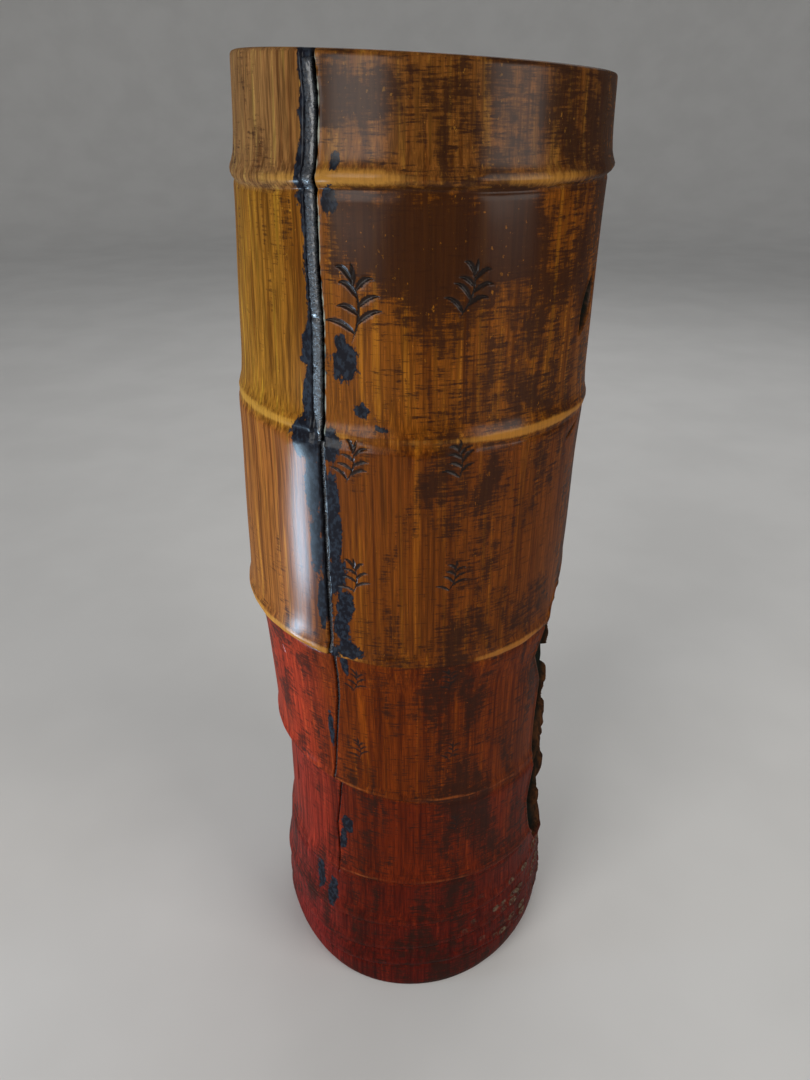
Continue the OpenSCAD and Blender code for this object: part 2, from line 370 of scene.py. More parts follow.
def limb(across, up, points, width, height):
    """A rounded trunk or branch along a line of points, with bark furrows."""
    grown = np.zeros(np.broadcast(across, up).shape)
    steps = np.linspace(0, len(points) - 1, 60)
    xs = np.interp(steps, range(len(points)), [p[0] for p in points])
    ys = np.interp(steps, range(len(points)), [p[1] for p in points])
    for n, (x, y) in enumerate(zip(xs, ys)):
        half = width * (1 - 0.55 * n / 60)
        far = np.hypot(across - x, up - y) / half
        grown = np.maximum(grown, height * np.sqrt(np.clip(1 - far ** 2, 0, 1)))
    furrow = 0.35 * np.abs(np.sin(across * 1.9 + 1.3 * np.sin(up * 0.55)))
    return np.where(grown > 0.3, grown - furrow, grown)


def needle_pad(across, up, x, y, radius, height):
    """A round tuft of needles: a low dome with fanned cuts."""
    far = np.hypot(across - x, up - y)
    angle = np.arctan2(up - y + radius * 0.35, across - x)
    dome = height * np.clip(1 - (far / radius) ** 4, 0, 1)
    cuts = 0.45 * np.abs(np.sin(angle * 11)) * smooth(far, 0.8, radius * 0.5)
    return np.where(dome > 0.2, dome - cuts * np.clip(dome, 0, 1), 0)


def carve_relief():
    """Height change of the relief, and where it lies, from 0 to 1."""
    middle = math.radians(105)
    place, across, up = window(middle, 132, 62, 90)
    outline = [((math.radians(a) - middle) * MEAN_RADIUS, z - 132) for a, z in RELIEF]
    inside = outline_distance(across, up, outline)
    rng = np.random.default_rng(12)
    rough = 0.35 * skin_noise(90, 120, 13)[place] * smooth(inside, 1, 4)
    ground = -RELIEF_DEPTH * smooth(inside, 0, 2.2) - rough
    forms = crags(across, up, rng)
    trunk = [(8, -62), (2, -40), (12, -18), (3, 4), (12, 26), (2, 48), (-8, 60)]
    forms = np.maximum(forms, limb(across, up, trunk, 6.5, 4.0))
    for branch in ([(4, -30), (-18, -18), (-34, -22)], [(10, -8), (-12, 6), (-38, 2)],
                   [(6, 14), (26, 24), (38, 20)], [(8, 34), (-14, 40), (-36, 34)],
                   [(10, -24), (30, -12), (40, -16)], [(0, 52), (20, 60), (34, 54)]):
        forms = np.maximum(forms, limb(across, up, branch, 2.6, 3.2))
    for _ in range(34):
        side = rng.choice([-1, 1])
        x = side * rng.uniform(8, 44)
        y = rng.uniform(-34, 68)
        pad = needle_pad(across, up, x, y, rng.uniform(5.0, 8.0), rng.uniform(2.6, 4.3))
        forms = np.maximum(forms, pad)
    lip = 0.45 * bell(inside + 0.5, 0.55)
    change = blank()
    change[place] = np.where(inside > 0, ground + forms * smooth(inside, 0.8, 3.0), 0) + lip
    where = np.zeros_like(change)
    where[place] = smooth(inside, -0.2, 0.8)
    # Painted shade: the ground is marked darker the deeper it lies.
    hollow = np.zeros_like(change)
    hollow[place] = where[place] * smooth(-change[place], 0.4, 3.4)
    # The lip round the outline is marked for a pale colour: a painted highlight.
    edge = np.zeros_like(change)
    edge[place] = bell(inside + 0.5, 0.5)
    return np.minimum(change, 0.45), where, hollow, edge


def leaf_hollow():
    """The pointed hollow on the right shoulder, and the notch below it."""
    change = blank()
    place, across, up = window(math.radians(63), 311.5, 14, 16)
    turn = math.radians(27)
    along = up * math.cos(turn) + across * math.sin(turn)
    beside = across * math.cos(turn) - up * math.sin(turn)
    half = 4.6 * np.clip(1 - (along / 11.5) ** 2, 0, 1)
    inside = half - np.abs(beside)
    change[place] = -2.9 * smooth(inside, 0, 2.6) + 0.3 * bell(inside + 0.5, 0.5) * (half > 0.2)
    # The mark fills the hollow and the notch below it with near-black painted shade.
    mark = np.zeros_like(change)
    mark[place] = smooth(inside, -0.1, 0.9)
    place, across, up = window(math.radians(61), 268, 7, 5)
    slash = stroke(across, up, [(-4.5, -1.8), (0, -0.2), (4.5, 2.6)], 2.0)
    change[place] -= 0.9 * np.clip(slash, 0, 1)
    mark[place] = np.maximum(mark[place], np.clip(slash * 2, 0, 1))
    return change, mark


def root_scars(rings):
    """Rows of small root scars around the root end, strongest on the right and the back."""
    change = blank()
    mark = np.zeros_like(change)
    rng = np.random.default_rng(21)
    for ring in rings[1:4]:
        for row, count in ((0, 58), (1, 61)):
            for n in range(count):
                azimuth = -math.pi + 2 * math.pi * (n + rng.uniform(0.2, 0.8)) / count
                strong = smooth(math.cos(azimuth - math.radians(105)), -0.35, 0.55)
                strong *= rng.uniform(0.25, 1.0)
                height = float(np.interp(azimuth, AROUND[0], ring[0])) + 2.6 + 3.6 * row
                height += rng.uniform(-0.5, 0.5)
                place, across, up = window(azimuth, height, 4.5, 4.5)
                far = np.hypot(across / rng.uniform(2.0, 2.9), up / rng.uniform(1.3, 1.8))
                change[place] += strong * (0.55 * bell(far - 0.95, 0.32) - 0.45 * bell(far, 0.5))
                mark[place] = np.maximum(mark[place], strong * smooth(1.5 - far, 0, 0.8))
    return change, mark


def pits():
    """Small knocks and gouges in the surface."""
    change = blank()
    gouges = [(-63, 101, (-0.5, -5), (0.2, 0), (0.4, 5.5), 1.9, 0.9),
              (-62, 65, (-3, 0.5), (0, 0), (3.0, -0.5), 1.4, 0.4),
              (-52, 178, (-1.0, 2.2), (0, 0), (1.2, -2.0), 1.2, 0.4),
              (-120, 236, (-0.5, -7), (0.5, 0), (0.0, 7.0), 1.2, 0.6),
              (170, 300, (-4, -0.5), (0, 0.4), (4.5, 0.2), 1.0, 0.4),
              (35, 236, (0.2, -2.0), (0, 0), (-0.3, 2.4), 1.0, 0.4)]
    for degrees, height, start, bend, end, width, deep in gouges:
        place, across, up = window(math.radians(degrees), height, 9, 10)
        cut = np.clip(stroke(across, up, (start, bend, end), width), 0, 1)
        change[place] -= deep * cut
    return change


def internode_stain_with_painted_red_light(rings):
    """Stain of the bamboo at every place of the outside, with painted red light (redder low down, lighter
    and redder on the left side), as linear red, green and blue.
    """
    stain_and_painted_red_light = np.zeros((OUTER_ROWS + 1, COLUMNS + 1, 3))
    # The left side takes its own colour: painted light, lighter and redder for red light reflected onto that
    # side.
    left = smooth(-AROUND, math.radians(22), math.radians(48)) * (1 - smooth(-AROUND, 1.35, 2.1))
    for i, (front, side) in enumerate(STAINS_WITH_PAINTED_RED_LIGHT):
        share = (smooth(UP - rings[i], -2.6, -0.6) if i else np.ones_like(UP))[..., None]
        own = np.array(front) * (1 - left[..., None]) + np.array(side) * left[..., None]
        stain_and_painted_red_light = stain_and_painted_red_light * (1 - share) + own * share
    return stain_and_painted_red_light


# More dark lacquer left: how much, height, half height, azimuth in radians and half width.
DARK_PATCHES = [(0.45, 372, 9, -0.26, 0.22), (0.20, 205, 22, 0.36, 0.26), (0.20, 258, 14, 0.34, 0.26),
                (0.16, 284, 8, 0.60, 0.2)]


def mottle_amount(rings):
    """How much dark lacquer is left on the bamboo, from 0 to 1: little on the left, much under the
    upper ring and right of the middle, as the hand has worn it."""
    top = rings[8]
    amount = 0.31 + 0.12 * bell(AROUND - 0.27, 0.20) + 0.05 * smooth(AROUND, 0.5, 1.1)
    under_top = smooth(AROUND, -0.5, -0.38) * (1 - smooth(AROUND, 0.4, 0.7))
    amount = amount + 0.34 * bell(UP - top + 14, 13) * under_top
    for extra, height, tall, azimuth, wide in DARK_PATCHES:
        amount = amount + extra * bell(UP - height, tall) * bell(AROUND - azimuth, wide)
    left = smooth(-AROUND, 0.50, 0.62) * (1 - smooth(-AROUND, 1.7, 2.6))
    amount = amount * (1 - 0.35 * left * smooth(UP, 190, 200))
    return np.clip(amount + 0.05 * skin_noise(10, 12, 31), 0, 1)


def worn_ridges(rings):
    """Where the ridge of each node is rubbed back to bright bamboo."""
    worn = blank()
    strengths = (0, 0.15, 0.2, 0.35, 0.6, 0.65, 0.95, 0.95, 0.8)
    widths = (1, 1, 1, 1.2, 1.0, 1.1, 1.7, 1.8, 2.8)
    for i in range(1, len(INTERNODES)):
        patchy = np.clip(0.75 + 0.4 * line_noise(26, 60 + i), 0.15, 1.2)
        worn = np.maximum(worn, strengths[i] * patchy * bell(UP - rings[i] - 1.4, widths[i]))
    rim = 0.5 * bell(UP - HEIGHT, 0.9)
    return np.clip(np.maximum(worn, rim), 0, 1)


# ---------------- the whole skin
def bore_line(down):
    """Radius of the hollow at a height."""
    start = FLOOR_TOP + 12
    return WELL_RADIUS + (MOUTH_RADIUS - WELL_RADIUS) * np.clip((down - start) / (HEIGHT - start), 0, 1)


def bore_shift(height, shift_x):
    """The hollow's axis follows the culm's."""
    return np.interp(height, UP[:, 0], shift_x.mean(axis=1)) * 0.7 * smooth(height, 40, 90)


def slant_share(height):
    """How much of the rim's slant a height takes."""
    return np.clip((height - SLANT_FROM) / (HEIGHT - SLANT_FROM), 0, 1)


def outside(rings):
    """Position and colour fields of the outside, and what the smaller pieces need of them."""
    radius, shift_x, shift_y = bare_culm(rings)
    radius = rounded_ends(radius)
    offset = crack_offset()
    cut_depth, cut_mark = incise_sprays()
    crack_change, crack_gap_painted_shade, crack_edge_with_painted_highlight = open_crack(offset)
    relief_change, relief, relief_depth_painted_shade, relief_edge = carve_relief()
    hollow_change, hollow_mark = leaf_hollow()
    scar_change, scar_mark = root_scars(rings)
    keep = 1 - relief
    radius = radius + crack_change + relief_change + hollow_change + pits()
    radius = radius - cut_depth + scar_change * keep
    outer = {
        "x": shift_x + radius * TO_RIGHT,
        "y": shift_y - radius * TO_FRONT,
        "z": UP - RIM_RISE * TO_RIGHT * slant_share(UP),
        # The cut mask draws the incised sprays dark, darker the deeper they are cut, and the crack's open
        # gap near-black as painted shade.
        "cut": np.clip(cut_mark + crack_gap_painted_shade, 0, 1),
        "lacquer": spilt_lacquer(offset) * keep,
        "mottle": mottle_amount(rings),
        "worn": worn_ridges(rings) * keep,
        # The edge mask lightens the crack's raised edge, partly as a painted highlight, and the relief's lip
        # as a painted highlight.
        "edge": np.clip(crack_edge_with_painted_highlight + 0.5 * relief_edge, 0, 1),
        "relief": np.clip(relief + hollow_mark, 0, 1),
        # The hollow mask darkens the relief's ground by its depth and fills the leaf hollow: painted shade.
        "hollow": np.clip(relief_depth_painted_shade + hollow_mark, 0, 1),
        "scars": scar_mark * keep,
        "inside": blank(),
    }
    stain_and_painted_red_light = internode_stain_with_painted_red_light(rings)
    for channel, name in enumerate(STAIN_CHANNELS):
        outer[name] = stain_and_painted_red_light[..., channel]
    return outer, {"offset": offset, "radius": radius, "shift_x": shift_x, "shift_y": shift_y}


def rim_rows(outer, shift_x, from_crack):
    """The rim, from its outer edge over to the mouth."""
    t = np.linspace(0, 1, RIM_ROWS + 1)[1:, None]
    mouth_x = bore_shift(np.array([HEIGHT]), shift_x)[0]
    lip = MOUTH_RADIUS + RIM_ROUND
    x = (1 - t) * outer["x"][-1] + t * (mouth_x + lip * TO_RIGHT)
    y = (1 - t) * outer["y"][-1] - t * lip * TO_FRONT
    split = bell(from_crack, 0.55) * np.sin(math.pi * t)
    saw = 0.10 * noise(RIM_ROWS, 3, 40, 41) * np.sin(math.pi * t)
    return x, y, outer["z"][-1:] - split + np.minimum(saw, 0)


def inner_rows(rings, outer, shift_x, from_crack):
    """The hollow, from the mouth down to the floor, with the stubs of the diaphragms."""
    straight = smooth(DOWN, FLOOR_TOP, FLOOR_TOP + 8)
    bore = bore_line(DOWN) + RIM_ROUND * bell(HEIGHT - DOWN, 1.6) + 0.25 * noise(INNER_ROWS, 14, 16, 42)
    bore = bore * straight + WELL_RADIUS * (1 - straight)
    for i in range(4, len(INTERNODES)):
        ring = rings[i] + 1.5 * line_noise(14, 70 + i)
        bore = bore - (1.5 + 0.4 * line_noise(30, 80 + i)) * bell(DOWN - ring, 3.0)
    bore = bore + 1.6 * bell(from_crack, 0.5) * smooth(DOWN, 70, 110)
    slant = (outer["z"][-1:] - HEIGHT) * slant_share(DOWN)
    return bore_shift(DOWN, shift_x) + bore * TO_RIGHT, -bore * TO_FRONT, DOWN + slant


def foot_rows(outer):
    """The shoulder above the floor disc, the rebate that holds it and the sole."""
    sole = np.linspace(0, 1, SOLE_ROWS + 1)[1:, None]
    radius = np.vstack([
        np.linspace(WELL_RADIUS, REBATE_RADIUS, SHOULDER_ROWS + 1)[1:, None],
        np.full((REBATE_ROWS, 1), REBATE_RADIUS),
    ])
    height = np.vstack([
        np.full((SHOULDER_ROWS, 1), FLOOR_TOP),
        np.linspace(FLOOR_TOP, 0, REBATE_ROWS + 1)[1:, None],
    ])
    sole_x = (1 - sole) * REBATE_RADIUS * TO_RIGHT + sole * outer["x"][:1]
    sole_y = -(1 - sole) * REBATE_RADIUS * TO_FRONT + sole * outer["y"][:1]
    x = np.vstack([radius * TO_RIGHT, sole_x])
    y = np.vstack([-radius * TO_FRONT, sole_y])
    return x, y, np.vstack([height + 0 * AROUND, np.zeros((SOLE_ROWS, COLUMNS + 1))])


def build_skin():
    """Position and colour fields of every point of the survey grid: outside, rim, inside and foot."""
    rings = ring_lines()
    outer, survey = outside(rings)
    shift_x = survey["shift_x"]
    from_crack = np.abs(survey["offset"][-1:] - SLOT_MIDDLE)
    rim = rim_rows(outer, shift_x, from_crack)
    inner = inner_rows(rings, outer, shift_x, from_crack)
    parts = (rim, inner, foot_rows(outer))
    rows = RIM_ROWS + INNER_ROWS + SHOULDER_ROWS + REBATE_ROWS + SOLE_ROWS
    rest = {name: np.zeros((rows, COLUMNS + 1)) for name in outer}
    for axis, name in enumerate("xyz"):
        rest[name] = np.vstack([part[axis] for part in parts])
    over_rim = np.linspace(0, 1, RIM_ROWS + 1)[1:, None]
    rest["inside"][:] = 1
    rest["inside"][:RIM_ROWS] = smooth(over_rim, 0, 0.12)
    rest["inside"][-8:] = np.linspace(0.9, 0, 8)[:, None]
    # The crack across the rim and down the inside is drawn dark too: painted shade in the split.
    rest["cut"][:RIM_ROWS] = bell(from_crack, 0.7)
    rest["cut"][RIM_ROWS:RIM_ROWS + INNER_ROWS] = bell(from_crack, 0.6) * smooth(DOWN, 70, 110)
    for name, value in zip(STAIN_CHANNELS, INSIDE_STAIN):
        rest[name][:] = value
    skin = {name: np.vstack([outer[name], rest[name]]) for name in outer}
    for name, field in skin.items():
        field[:, -1] = field[:, 0]
        if name in "xyz":
            field[-1] = field[0]
    return skin, survey


# ---------------- from the grid to a mesh
COARSEST = 16
TOLERANCE = 0.12
MASK_SCALE = {"cut": 0.22, "edge": 0.12, "lacquer": 0.12, "worn": 0.10, "hollow": 0.12, "scars": 0.08,
              "relief": 0.08, "inside": 0.1}


def flat_patch_error(stack, size):
    """Largest distance between the surface and a flat patch, for every square cell of one size."""
    rows, columns = (n - 1 for n in stack.shape[:2])
    corners = stack[::size, ::size]
    error = np.zeros((rows // size, columns // size))
    stride = max(1, size // 4)
    for i in range(0, size + 1, stride):
        for j in range(0, size + 1, stride):
            v, u = i / size, j / size
            flat = ((1 - v) * ((1 - u) * corners[:-1, :-1] + u * corners[:-1, 1:])
                    + v * ((1 - u) * corners[1:, :-1] + u * corners[1:, 1:]))
            real = stack[i:rows + i - size + 1:size, j:columns + j - size + 1:size]
            error = np.maximum(error, np.sqrt(((real - flat) ** 2).sum(axis=2)))
    return error


def grow(mask):
    """The mask and its eight neighbours, around both closed directions."""
    wide = mask | np.roll(mask, 1, 0) | np.roll(mask, -1, 0)
    return wide | np.roll(wide, 1, 1) | np.roll(wide, -1, 1)


def halve(mask):
    return mask[::2, ::2] | mask[1::2, ::2] | mask[::2, 1::2] | mask[1::2, 1::2]


def needed_points(skin):
    """Marks the grid points that the mesh keeps: fine cells only where the surface needs them."""
    layers = [skin[name] for name in "xyz"] + [skin[name] * scale for name, scale in MASK_SCALE.items()]
    stack = np.stack(layers, axis=2).astype(np.float32)
    sizes = [COARSEST, COARSEST // 2, COARSEST // 4, COARSEST // 8]
    split = {size: flat_patch_error(stack, size) > TOLERANCE for size in sizes}
    for fine, coarse in zip(sizes[::-1], sizes[::-1][1:]):
        split[coarse] |= halve(grow(split[fine]))
    used = np.zeros(stack.shape[:2], bool)
    used[::COARSEST, ::COARSEST] = True
    for size in sizes:
        rows, columns = np.nonzero(split[size])
        for i in (0, size // 2, size):
            for j in (0, size // 2, size):
                used[rows * size + i, columns * size + j] = True
    sides = used[:, 0] | used[:, -1]
    used[:, 0] = used[:, -1] = sides
    ends = used[0] | used[-1]
    used[0] = used[-1] = ends
    return used


def skin_mesh(name, skin):
    """Triangulates the kept points and closes the skin on itself, around and along."""
    used = needed_points(skin)
    rows, columns = np.nonzero(used)
    flat = [Vector((float(c), float(r))) for r, c in zip(rows, columns)]
    _, _, faces, origins, _, _ = delaunay_2d_cdt(flat, [], [], 0, 1e-4)
    last_row, last_column = used.shape[0] - 1, used.shape[1] - 1
    number = np.full(used.shape, -1)
    kept = used.copy()
    kept[last_row] = False
    kept[:, last_column] = False
    number[kept] = np.arange(kept.sum())
    welded = number[rows % last_row, columns % last_column]
    order = np.array([found[0] for found in origins])
    triangles = welded[order[np.array(faces)]]
    points = np.stack([skin[axis][kept] for axis in "xyz"], axis=1) * MM
    mesh = bpy.data.meshes.new(name)
    mesh.from_pydata(points.tolist(), [], triangles.tolist())
    for field, values in skin.items():
        if field in "xyz" or field in STAIN_CHANNELS:
            continue
        layer = mesh.attributes.new(field, "FLOAT", "POINT")
        layer.data.foreach_set("value", values[kept].astype(np.float32))
    stain_and_painted_red_light = np.ones((kept.sum(), 4), np.float32)
    for channel, field in enumerate(STAIN_CHANNELS):
        stain_and_painted_red_light[:, channel] = skin[field][kept]
    layer = mesh.attributes.new("stain_and_painted_red_light", "FLOAT_COLOR", "POINT")
    layer.data.foreach_set("color", stain_and_painted_red_light.ravel())
    return mesh


def show(mesh, material):
    """Makes an object of a mesh, smooth shaded."""
    mesh.validate()
    mesh.update()
    mesh.shade_smooth()
    piece = bpy.data.objects.new(mesh.name, mesh)
    bpy.context.scene.collection.objects.link(piece)
    mesh.materials.append(material)
    return piece


# ---------------- the smaller pieces
def tube_mesh(name, loops):
    """A closed solid through a row of point loops, with its two ends filled."""
    count, around = len(loops), len(loops[0])
    points = np.concatenate(loops) * MM
    faces = [tuple(range(around - 1, -1, -1)), tuple((count - 1) * around + k for k in range(around))]
    for n in range(count - 1):
        for k in range(around):
            a, b = n * around + k, n * around + (k + 1) % around
            faces.append((a, b, b + around, a + around))
    mesh = bpy.data.meshes.new(name)
    mesh.from_pydata(points.tolist(), [], faces)
    return mesh


def lacquer_strip(name, survey, low, high, left, right, sink, thick, seed):
    """Lacquer that lies in the crack: ragged sides, a grainy top and a plain back."""
    rng = np.random.default_rng(seed)
    rows = range(int(low / HEIGHT * OUTER_ROWS), int(high / HEIGHT * OUTER_ROWS) + 1, 2)
    across = np.linspace(left, right, 11)
    loops = []
    for row in rows:
        fade = min(1.0, (UP[row, 0] - low) / 12 + 0.15)
        wander = rng.uniform(-0.18, 0.18, 2)
        sides = [left * fade + wander[0] * fade, right * fade + wander[1] * fade]
        spots = np.interp(across, [left, right], sides)
        azimuth = np.interp(spots, survey["offset"][row], AROUND[0])
        plain = np.median(np.interp(azimuth + 0.1, AROUND[0], survey["radius"][row]))
        dome = 0.22 * np.sin(np.linspace(0, math.pi, 11))
        top = plain - sink + dome + rng.uniform(-0.09, 0.09, 11)
        top[0], top[-1] = plain - sink - 0.35, plain - sink - 0.35
        back = np.full(11, plain - sink - thick)
        angle = np.concatenate([azimuth, azimuth[::-1]])
        reach = np.concatenate([top, back])
        cx, cy = survey["shift_x"][row], survey["shift_y"][row]
        cx, cy = (np.interp(angle, AROUND[0], np.broadcast_to(c, AROUND.shape[1:])) for c in (cx, cy))
        height = min(UP[row, 0], HEIGHT - 0.35)
        loop = [cx + reach * np.sin(angle), cy - reach * np.cos(angle), np.full(angle.size, height)]
        loops.append(np.stack(loop, 1))
    return tube_mesh(name, loops)


def lathe_mesh(name, outline, closed, steps=128):
    """Turns an outline of (radius, height) points; an open one starts and ends on the axis."""
    points, faces = [], []
    start, end = (0, len(outline)) if closed else (1, len(outline) - 1)
    ring = outline[start:end]
    for k in range(steps):
        angle = 2 * math.pi * k / steps
        points += [(r * math.cos(angle) * MM, r * math.sin(angle) * MM, z * MM) for r, z in ring]
    count = len(ring)
    links = count if closed else count - 1
    for k in range(steps):
        here, there = k * count, (k + 1) % steps * count
        for n in range(links):
            m = (n + 1) % count
            faces.append((here + n, there + n, there + m, here + m))
    if not closed:
        points += [(0, 0, outline[0][1] * MM), (0, 0, outline[-1][1] * MM)]
        bottom, top = len(points) - 2, len(points) - 1
        for k in range(steps):
            here, there = k * count, (k + 1) % steps * count
            faces.append((bottom, there, here))
            faces.append((top, here + count - 1, there + count - 1))
    mesh = bpy.data.meshes.new(name)
    mesh.from_pydata(points, [], faces)
    return mesh


def disc_outline():
    """Half section of the floor disc, with shallow turning marks on both faces."""
    edge = REBATE_RADIUS - 0.05
    radii = np.linspace(1.5, edge - 1.2, 60)
    marks = 0.10 * np.abs(np.sin(radii * 1.15)) + 0.25 * (radii > edge - 6)
    under = [(0, FLOOR_LOW + 0.1)] + [(r, FLOOR_LOW + 0.1 + m) for r, m in zip(radii, marks)]
    side = [(edge - 0.4, FLOOR_LOW + 0.6), (edge, FLOOR_LOW + 1.2), (edge, FLOOR_TOP)]
    top = [(r, FLOOR_TOP - 0.02 - m * 0.6) for r, m in zip(radii[::-1], marks[::-1])]
    return under + side + top + [(0, FLOOR_TOP - 0.02)]


def bead_outline():
    """Section of the putty bead: a slightly hollow fillet."""
    inner = WELL_RADIUS - BEAD
    turns = np.linspace(0, math.pi / 2, 9)
    face = [(inner + BEAD * math.sin(a), FLOOR_TOP + BEAD - BEAD * math.cos(a)) for a in turns]
    return [(WELL_RADIUS + 0.2, FLOOR_TOP)] + [(r, max(z, FLOOR_TOP + 0.02)) for r, z in face[::-1]]


def roughen(mesh, amount, seed):
    """Moves every point a little, the same way each run."""
    rng = np.random.default_rng(seed)
    for vertex in mesh.vertices:
        vertex.co += Vector(rng.uniform(-amount, amount, 3).tolist()) * MM


def peg_mesh(name, node, survey):
    """A bamboo peg with a slightly split, domed head, cut flush with the culm."""
    low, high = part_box(node)
    middle = (low + high) / 2
    azimuth = math.atan2(middle.x, -middle.y)
    radius = (high.z - low.z) / 2 / MM
    inner = 46.0
    row = int(middle.z / MM / HEIGHT * OUTER_ROWS)
    outer = float(np.interp(azimuth, AROUND[0], survey["radius"][row]))
    outline = [(0, inner), (radius - 0.2, inner), (radius, inner + 0.3), (radius, outer - 0.25),
               (radius * 0.9, outer - 0.02), (radius * 0.45, outer + 0.06), (0, outer + 0.04)]
    mesh = lathe_mesh(name, outline, False, 24)
    turn = Matrix.Rotation(azimuth, 4, "Z") @ Matrix.Rotation(math.pi / 2, 4, "X")
    mesh.transform(Matrix.Translation((0.0005, 0, middle.z)) @ turn)
    return mesh


# ---------------- materials
class Shader:
    """A short way to write a node material."""

    def __init__(self, name):
        self.material = bpy.data.materials.new(name)
        self.material.use_nodes = True
        self.tree = self.material.node_tree
        self.main = self.tree.nodes["Principled BSDF"]

    def put(self, socket, value):
        if isinstance(value, bpy.types.NodeSocket):
            self.tree.links.new(value, socket)
        elif isinstance(value, tuple) and len(value) == 3 and socket.type == "RGBA":
            socket.default_value = (*value, 1)
        else:
            socket.default_value = value

    def math(self, kind, a, b=0.0, clamp=False):
        node = self.tree.nodes.new("ShaderNodeMath")
        node.operation = kind
        node.use_clamp = clamp
        self.put(node.inputs[0], a)
        self.put(node.inputs[1], b)
        return node.outputs[0]

    def times(self, a, b):
        return self.math("MULTIPLY", a, b)

    def blend(self, *terms):
        """Sum of values, each with its weight."""
        total = 0.0
        for value, weight in terms:
            total = self.math("ADD", total, self.times(value, weight))
        return total

    def ramp(self, value, low, high, to_low=0.0, to_high=1.0):
        node = self.tree.nodes.new("ShaderNodeMapRange")
        node.interpolation_type = "SMOOTHSTEP"
        for socket, number in zip(node.inputs, (value, low, high, to_low, to_high)):
            self.put(socket, number)
        return node.outputs[0]

    def mix(self, share, a, b, kind="MIX"):
        node = self.tree.nodes.new("ShaderNodeMix")
        node.data_type = "RGBA"
        node.blend_type = kind
        self.put(node.inputs[0], share)
        self.put(node.inputs[6], a)
        self.put(node.inputs[7], b)
        return node.outputs[2]

    def field(self, name, output="Fac"):
        node = self.tree.nodes.new("ShaderNodeAttribute")
        node.attribute_name = name
        return node.outputs[output]

    def place(self, scale):
        """Object coordinates, stretched."""
        coordinates = self.tree.nodes.new("ShaderNodeTexCoord")
        node = self.tree.nodes.new("ShaderNodeMapping")
        self.put(node.inputs["Vector"], coordinates.outputs["Object"])
        node.inputs["Scale"].default_value = scale
        return node.outputs[0]

    def grain(self, stretch, detail=4.0, rough=0.6, warp=0.0):
        """Noise with stretch waves per metre along X, Y and Z."""
        node = self.tree.nodes.new("ShaderNodeTexNoise")
        self.put(node.inputs["Vector"], self.place(stretch))
        node.inputs["Scale"].default_value = 1.0
        node.inputs["Detail"].default_value = detail
        node.inputs["Roughness"].default_value = rough
        node.inputs["Distortion"].default_value = warp
        return node.outputs["Fac"]

    def bump(self, height, distance, below=None):
        node = self.tree.nodes.new("ShaderNodeBump")
        node.inputs["Strength"].default_value = 1.0
        node.inputs["Distance"].default_value = distance
        self.put(node.inputs["Height"], height)
        if below is not None:
            self.put(node.inputs["Normal"], below)
        return node.outputs[0]

    def finish(self, **inputs):
        for name, value in inputs.items():
            self.put(self.main.inputs[name.replace("_", " ")], value)
        return self.material


def bamboo_noises(s):
    """The noises that the bamboo's layers share. Stretches are in waves per metre."""
    return SimpleNamespace(
        fibre=s.grain((900, 900, 14), 5, 0.65),
        fine=s.grain((2600, 2600, 60), 3, 0.6),
        patch=s.grain((75, 75, 34), 5, 0.62, 0.4),
        small=s.grain((330, 330, 170), 5, 0.7, 0.3),
        weft=s.grain((150, 150, 1300), 4, 0.65),
        streak=s.grain((420, 420, 8), 3, 0.6),
        spot=s.grain((700, 700, 520), 3, 0.55),
    )


def bamboo_ground(s, n, stain_and_painted_red_light):
    """Stained fibres with golden and brown streaks, and the golden colour alone."""
    light = s.ramp(s.blend((n.fibre, 0.65), (n.fine, 0.35)), 0.36, 0.66, 0.55, 1.50)
    colour = s.mix(1.0, stain_and_painted_red_light, light, "MULTIPLY")
    gold = s.mix(1.0, colour, (1.80, 2.25, 1.8), "MULTIPLY")
    brown = s.mix(1.0, colour, (0.48, 0.38, 0.34), "MULTIPLY")
    colour = s.mix(s.ramp(n.streak, 0.54, 0.68, 0.0, 0.60), colour, gold)
    return s.mix(s.ramp(n.streak, 0.36, 0.48, 0.72, 0.0), colour, brown), gold


def bamboo_wear(s, n, stain_and_painted_red_light, colour, gold, high):
    """Dark lacquer in patches and hair lines, golden freckles and rubbed ridges."""
    mottle = s.field("mottle")
    level = s.blend((n.patch, 0.38), (n.small, 0.18), (n.fibre, 0.20), (n.weft, 0.24))
    wear = s.math("SUBTRACT", s.blend((level, 1.0), (mottle, 0.36)), 0.5)
    shade = s.mix(1.0, stain_and_painted_red_light, (0.20, 0.15, 0.30), "MULTIPLY")
    shade = s.mix(0.55, shade, (0.018, 0.008, 0.004))
    colour = s.mix(s.ramp(wear, 0.105, 0.190, 0.0, 0.90), colour, shade)
    scratch = s.times(s.ramp(n.weft, 0.57, 0.66, 0.0, 0.62), s.ramp(mottle, 0.20, 0.30))
    colour = s.mix(s.times(scratch, s.ramp(wear, 0.01, 0.12)), colour, shade)
    freckle = s.times(s.ramp(n.spot, 0.665, 0.71), s.ramp(wear, 0.03, 0.16))
    colour = s.mix(s.times(freckle, 0.55), colour, gold)
    rubbed = s.blend((s.field("worn"), 1.0), (n.small, 0.35), (n.fibre, 0.45), (n.weft, 0.25))
    rubbed = s.ramp(rubbed, 0.92, 1.35, 0.0, 0.85)
    bright = s.mix(0.62, gold, (0.36, 0.165, 0.030))
    redder = s.mix(0.75, gold, (0.24, 0.060, 0.012))
    return s.mix(rubbed, colour, s.mix(high, redder, bright))


